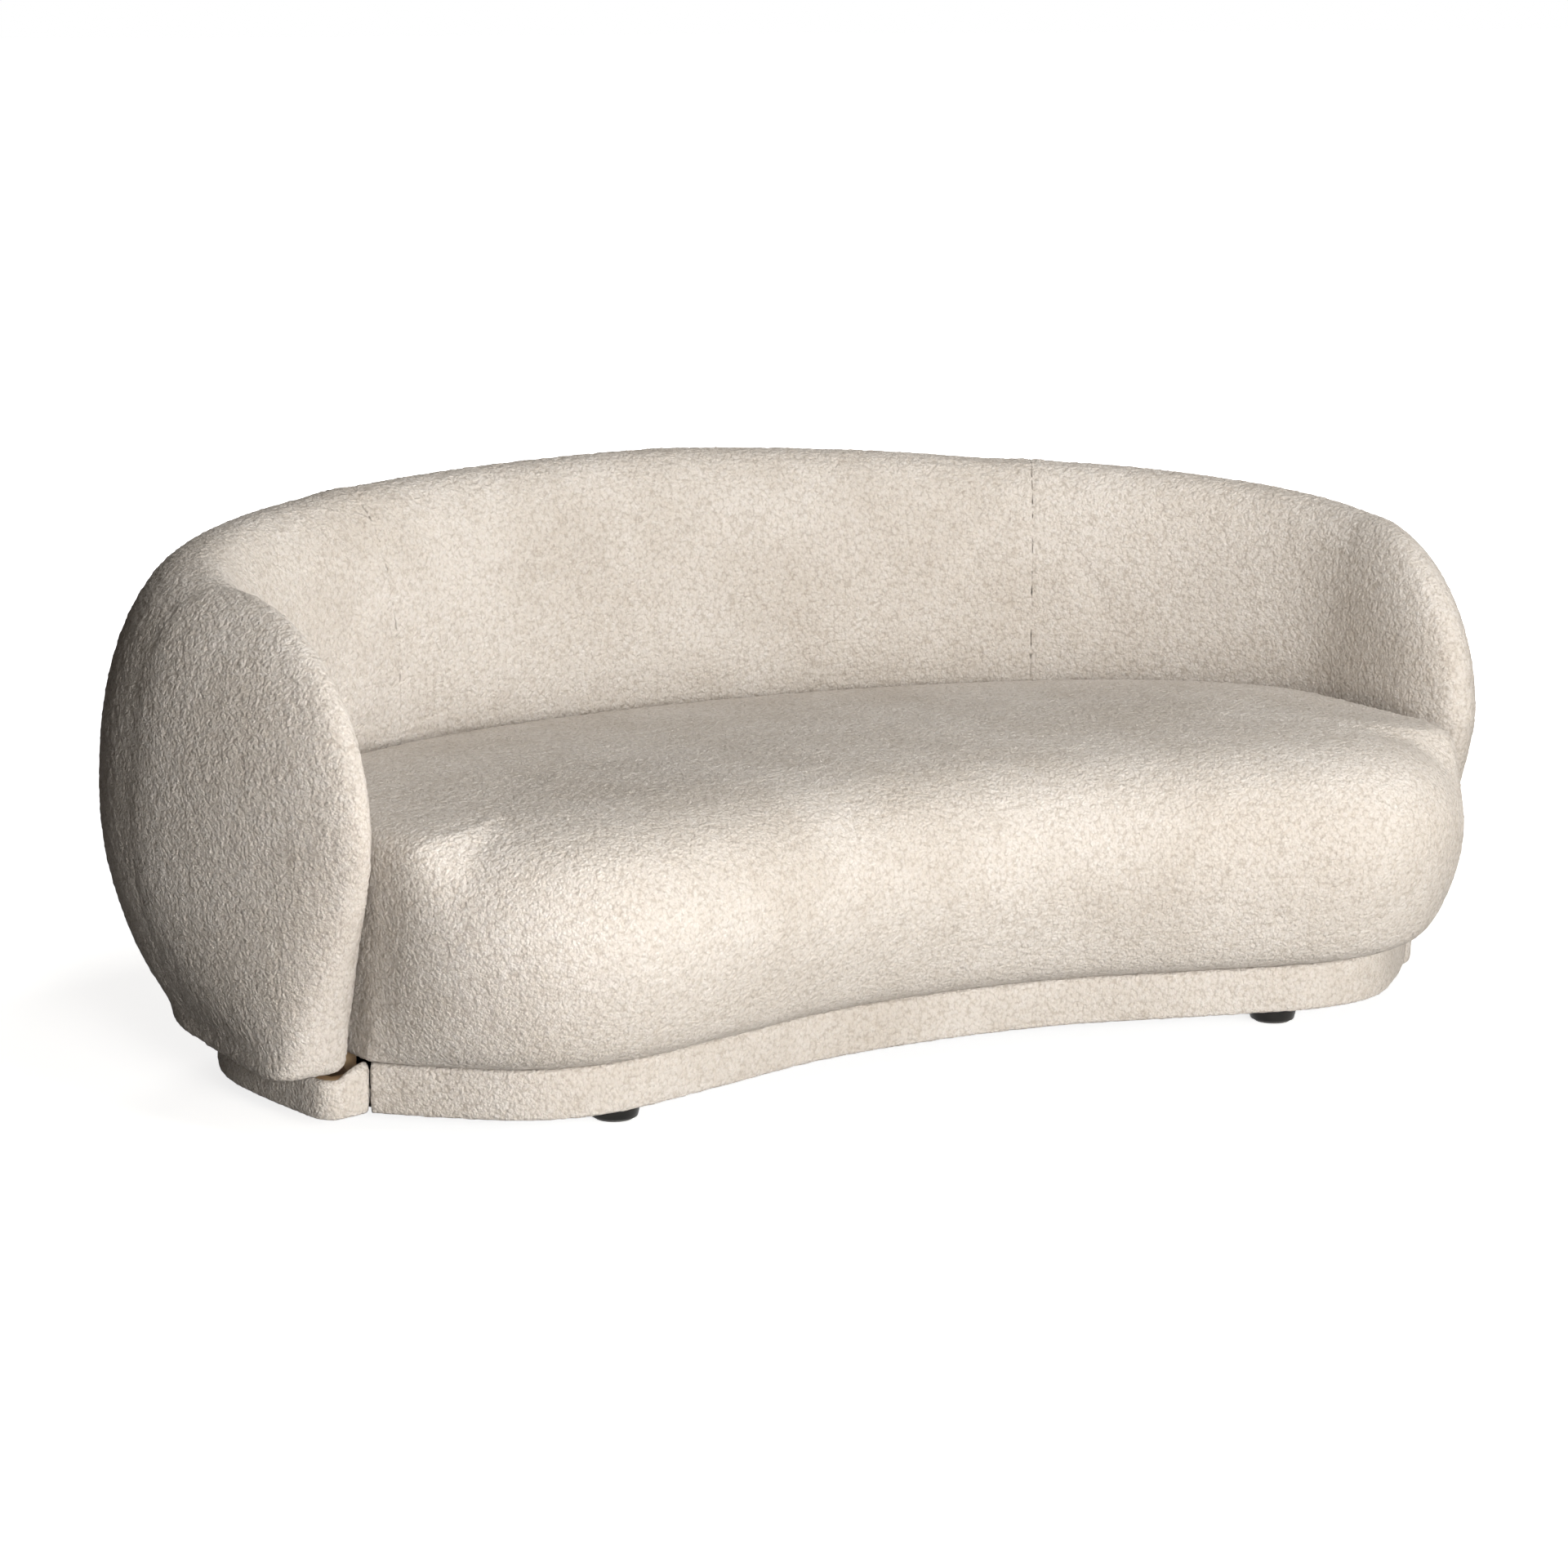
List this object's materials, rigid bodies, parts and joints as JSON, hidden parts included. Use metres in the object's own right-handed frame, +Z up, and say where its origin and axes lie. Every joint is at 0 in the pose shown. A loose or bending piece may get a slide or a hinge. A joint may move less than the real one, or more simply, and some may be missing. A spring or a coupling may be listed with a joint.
{
  "type": "sofa",
  "caption": "Curved sofa with a kidney-shaped tight seat inside one padded shell that forms back and arms, on a recessed upholstered plinth with short round wooden feet.",
  "frame": {"origin": "middle of the sofa's footprint, on the floor", "axes": "+X along the sofa's length towards its right arm as seen from the front, -Y towards the front of the seat, +Z up"},
  "size_m": [2.172, 1.1392, 0.778],
  "materials": {
    "boucle": "looped woven pile, matt",
    "foam": "open-cell seating foam, matt",
    "soft_foam": "soft upholstery foam and wadding, matt",
    "plywood": "bare plywood, unfinished",
    "pine": "planed softwood, unfinished",
    "black_lacquer": "turned wood, black satin lacquer",
    "steel": "plain zinc-plated steel",
    "felt": "dense pressed felt, matt",
    "lining": "thin non-woven lining, matt"
  },
  "bodies": {
    "root": {"arm_foam_left": "foam", "arm_foam_right": "foam", "arm_panel_left": "plywood", "arm_panel_right": "plywood", "back_lining_board": "plywood", "dust_cover": "lining", "foot_bolt_front_left": "steel", "foot_bolt_front_right": "steel", "foot_bolt_rear_left": "steel", "foot_bolt_rear_right": "steel", "foot_front_left": "black_lacquer", "foot_front_right": "black_lacquer", "foot_rear_left": "black_lacquer", "foot_rear_right": "black_lacquer", "glide_front_left": "felt", "glide_front_right": "felt", "glide_rear_left": "felt", "glide_rear_right": "felt", "inner_foam_centre": "foam", "inner_foam_left": "foam", "inner_foam_left_corner": "foam", "inner_foam_right": "foam", "inner_foam_right_corner": "foam", "outer_foam_centre": "soft_foam", "outer_foam_left": "soft_foam", "outer_foam_right": "soft_foam", "plinth_band_left": "boucle", "plinth_band_rear": "boucle", "plinth_band_right": "boucle", "plinth_band_seat": "boucle", "seat_base_board_front": "pine", "seat_base_board_rear": "pine", "seat_core_foam": "foam", "seat_cross_rib_centre": "pine", "seat_cross_rib_left": "pine", "seat_cross_rib_right": "pine", "seat_front_foam": "foam", "seat_front_panel": "plywood", "seat_rear_panel": "plywood", "seat_side_panel_left": "plywood", "seat_side_panel_right": "plywood", "seat_spring_1": "steel", "seat_spring_2": "steel", "seat_spring_3": "steel", "seat_spring_4": "steel", "seat_spring_5": "steel", "seat_topper_foam": "soft_foam", "shell_base_board": "pine", "shell_bottom_rail": "pine", "shell_plinth_panel_left": "plywood", "shell_plinth_panel_rear": "plywood", "shell_plinth_panel_right": "plywood", "shell_rib_1": "plywood", "shell_rib_2": "plywood", "shell_rib_3": "plywood", "shell_rib_4": "plywood", "shell_rib_5": "plywood", "shell_top_rail": "pine", "spring_pad": "felt"}
  },
  "joints": []
}
